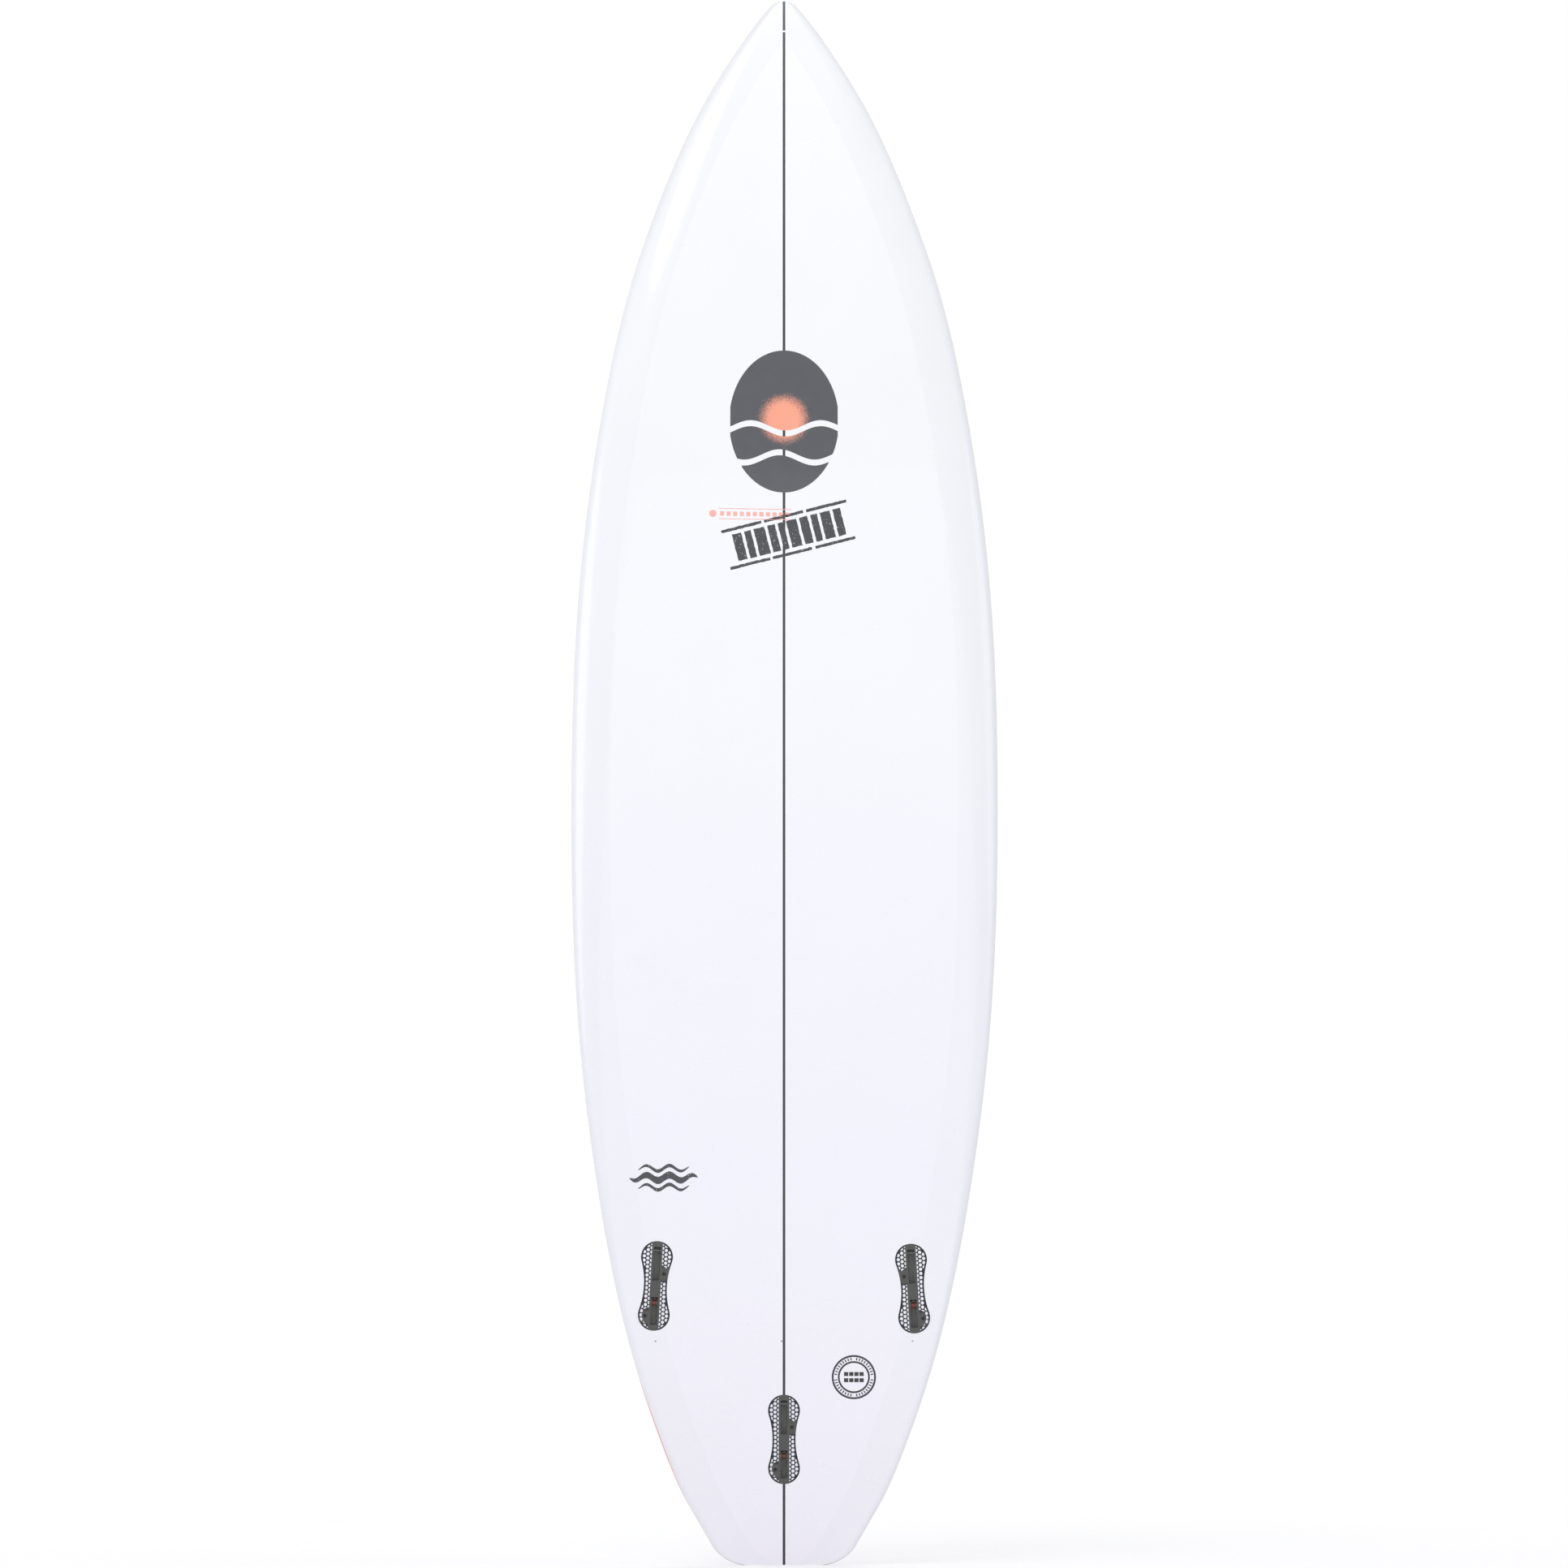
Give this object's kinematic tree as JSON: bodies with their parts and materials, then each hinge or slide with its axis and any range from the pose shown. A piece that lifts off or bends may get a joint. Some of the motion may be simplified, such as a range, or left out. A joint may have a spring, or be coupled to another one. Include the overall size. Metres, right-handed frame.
{
  "type": "shortboard surfboard",
  "caption": "Squash-tail shortboard with foam core, stringer and glass skins, two-slot fin plugs with sprung rollers and grub screws, and a leash plug.",
  "frame": {"origin": "centre of the flat tail end, where the board stands", "axes": "+Z from tail to nose, +Y from the bottom to the deck, +X to the right of a person who looks at the bottom"},
  "size_m": [0.4984, 0.1369, 1.8288],
  "materials": {
    "foam": "closed-cell polyurethane foam, sanded",
    "stringer": "sanded ply strip",
    "bottom_skin": "white, clear gloss resin over glass cloth",
    "deck_skin": "white, clear gloss resin over glass cloth",
    "plug": "dark grey glass-filled nylon",
    "pin_metal": "ground bar",
    "carrier": "moulded acetal",
    "spring_rubber": "moulded elastomer",
    "roller_urethane": "orange cast urethane",
    "screw_metal": "turned steel, black oxide",
    "leash_cup": "moulded, dark grey"
  },
  "bodies": {
    "board": {"foam_core_left": "foam", "foam_core_right": "foam", "stringer": "stringer", "bottom_laminate": "bottom_skin", "deck_laminate": "deck_skin", "leash_plug_cup": "leash_cup", "leash_plug_pin": "pin_metal", "fin_plug_flange_left": "plug", "fin_plug_box_left": "plug", "hook_bar_left": "screw_metal", "roller_spring_left": "spring_rubber", "fin_plug_flange_right": "plug", "fin_plug_box_right": "plug", "hook_bar_right": "screw_metal", "roller_spring_right": "spring_rubber", "fin_plug_flange_centre": "plug", "fin_plug_box_centre": "plug", "hook_bar_centre": "screw_metal", "roller_spring_centre": "spring_rubber"},
    "roller_carrier_left": {"roller_carrier_left": "carrier", "roller_axle_left": "pin_metal"},
    "roller_left": {"roller_left": "roller_urethane"},
    "front_grub_screw_left": {"front_grub_screw_left": "screw_metal"},
    "rear_grub_screw_left": {"rear_grub_screw_left": "screw_metal"},
    "roller_carrier_right": {"roller_carrier_right": "carrier", "roller_axle_right": "pin_metal"},
    "roller_right": {"roller_right": "roller_urethane"},
    "front_grub_screw_right": {"front_grub_screw_right": "screw_metal"},
    "rear_grub_screw_right": {"rear_grub_screw_right": "screw_metal"},
    "roller_carrier_centre": {"roller_carrier_centre": "carrier", "roller_axle_centre": "pin_metal"},
    "roller_centre": {"roller_centre": "roller_urethane"},
    "front_grub_screw_centre": {"front_grub_screw_centre": "screw_metal"},
    "rear_grub_screw_centre": {"rear_grub_screw_centre": "screw_metal"}
  },
  "joints": [
    {"name": "roller_slide_left", "type": "slide", "parent": "board", "child": "roller_carrier_left", "axis": [0.0548, -0.0726, 0.9959], "range_m": [0, 0.002], "stiffness_N_per_m": 2000, "deforming": ["roller_spring_left"]},
    {"name": "roller_spin_left", "type": "hinge", "parent": "roller_carrier_left", "child": "roller_left", "pos_m": [-0.15132, -0.02951, 0.3072], "axis": [-0.998, -0.0356, 0.0523], "continuous": true},
    {"name": "front_screw_turn_left", "type": "hinge", "parent": "board", "child": "front_grub_screw_left", "pos_m": [-0.14219, -0.03429, 0.341], "axis": [0.3711, -0.9245, -0.0878], "range_deg": [0, 810]},
    {"name": "rear_screw_turn_left", "type": "hinge", "parent": "board", "child": "rear_grub_screw_left", "pos_m": [-0.16003, -0.03132, 0.29199], "axis": [-0.377, -0.925, -0.0467], "range_deg": [0, 810]},
    {"name": "roller_slide_right", "type": "slide", "parent": "board", "child": "roller_carrier_right", "axis": [-0.0548, -0.0729, 0.9958], "range_m": [0, 0.002], "stiffness_N_per_m": 2000, "deforming": ["roller_spring_right"]},
    {"name": "roller_spin_right", "type": "hinge", "parent": "roller_carrier_right", "child": "roller_right", "pos_m": [0.15132, -0.02928, 0.30411], "axis": [-0.998, 0.0356, -0.0523], "continuous": true},
    {"name": "front_screw_turn_right", "type": "hinge", "parent": "board", "child": "front_grub_screw_right", "pos_m": [0.14219, -0.03406, 0.3379], "axis": [-0.371, -0.9244, -0.0881], "range_deg": [0, 810]},
    {"name": "rear_screw_turn_right", "type": "hinge", "parent": "board", "child": "rear_grub_screw_right", "pos_m": [0.16003, -0.03108, 0.28889], "axis": [0.377, -0.925, -0.047], "range_deg": [0, 810]},
    {"name": "roller_slide_centre", "type": "slide", "parent": "board", "child": "roller_carrier_centre", "axis": [0, -0.0969, 0.9953], "range_m": [0, 0.002], "stiffness_N_per_m": 2000, "deforming": ["roller_spring_centre"]},
    {"name": "roller_spin_centre", "type": "hinge", "parent": "roller_carrier_centre", "child": "roller_centre", "pos_m": [0, -0.0115, 0.12777], "axis": [-1, 0, 0], "continuous": true},
    {"name": "front_screw_turn_centre", "type": "hinge", "parent": "board", "child": "front_grub_screw_centre", "pos_m": [0.00717, -0.01737, 0.16186], "axis": [0.342, -0.9353, -0.0911], "range_deg": [0, 810]},
    {"name": "rear_screw_turn_centre", "type": "hinge", "parent": "board", "child": "rear_grub_screw_centre", "pos_m": [-0.00797, -0.01265, 0.11209], "axis": [-0.4067, -0.9092, -0.0886], "range_deg": [0, 810]}
  ]
}
